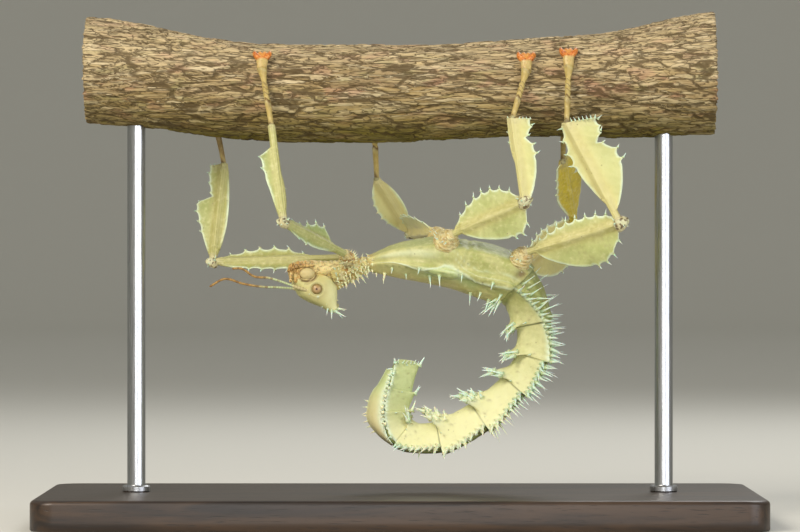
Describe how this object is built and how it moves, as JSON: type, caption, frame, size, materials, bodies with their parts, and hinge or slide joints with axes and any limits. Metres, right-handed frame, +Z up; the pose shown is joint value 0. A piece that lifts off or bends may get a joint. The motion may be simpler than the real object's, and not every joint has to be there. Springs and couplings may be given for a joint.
{
  "type": "stick insect model",
  "caption": "Life-size spiny stick insect with leaf-lobed legs and a curled abdomen, hanging upside down under a cut length of branch on a two-rod display stand.",
  "frame": {"origin": "middle of the underside of the display base, on the surface that it stands on", "axes": "+Z up; the branch runs along X with the insect's head toward -X; the insect's right side is toward -Y, which is the front of the display"},
  "size_m": [0.118, 0.056, 0.0843],
  "materials": {
    "body_cuticle": "satin cream to pale yellow-green cuticle",
    "leg_cuticle": "satin pale green, slightly translucent lobes",
    "ochre_cuticle": "wrinkled ochre-brown cuticle",
    "amber_cuticle": "amber leg segment",
    "eye": "glossy mauve-brown compound eye",
    "foot": "orange pads and claws",
    "bark": "rough grey-brown bark with cut ends",
    "base_wood": "dark satin-varnished hardwood",
    "rod_steel": "brushed steel rod"
  },
  "bodies": {
    "root": {"abdomen_1": "body_cuticle", "abdomen_2": "body_cuticle", "abdomen_3": "body_cuticle", "abdomen_4": "body_cuticle", "abdomen_5": "body_cuticle", "abdomen_6": "body_cuticle", "abdomen_7": "body_cuticle", "abdomen_8": "body_cuticle", "abdomen_9": "body_cuticle", "antenna_left": "leg_cuticle", "antenna_right": "leg_cuticle", "coxa_fore_left": "ochre_cuticle", "coxa_fore_right": "ochre_cuticle", "coxa_hind_left": "ochre_cuticle", "coxa_hind_right": "ochre_cuticle", "coxa_mid_left": "ochre_cuticle", "coxa_mid_right": "ochre_cuticle", "eye_left": "eye", "eye_right": "eye", "femur_fore_left": "leg_cuticle", "femur_fore_right": "leg_cuticle", "femur_hind_left": "leg_cuticle", "femur_hind_right": "leg_cuticle", "femur_mid_left": "leg_cuticle", "femur_mid_right": "leg_cuticle", "foot_fore_left": "foot", "foot_fore_right": "foot", "foot_hind_left": "foot", "foot_hind_right": "foot", "foot_mid_left": "foot", "foot_mid_right": "foot", "head": "body_cuticle", "mesothorax": "body_cuticle", "metathorax": "body_cuticle", "mouthparts": "ochre_cuticle", "operculum": "body_cuticle", "perch": "bark", "prothorax": "ochre_cuticle", "stand_base": "base_wood", "stand_rod_left": "rod_steel", "stand_rod_right": "rod_steel", "tarsus_fore_left": "ochre_cuticle", "tarsus_fore_right": "ochre_cuticle", "tarsus_hind_left": "ochre_cuticle", "tarsus_hind_right": "ochre_cuticle", "tarsus_mid_left": "ochre_cuticle", "tarsus_mid_right": "ochre_cuticle", "tibia_fore_left": "leg_cuticle", "tibia_fore_right": "leg_cuticle", "tibia_hind_left": "amber_cuticle", "tibia_hind_right": "leg_cuticle", "tibia_mid_left": "leg_cuticle", "tibia_mid_right": "leg_cuticle"}
  },
  "joints": []
}
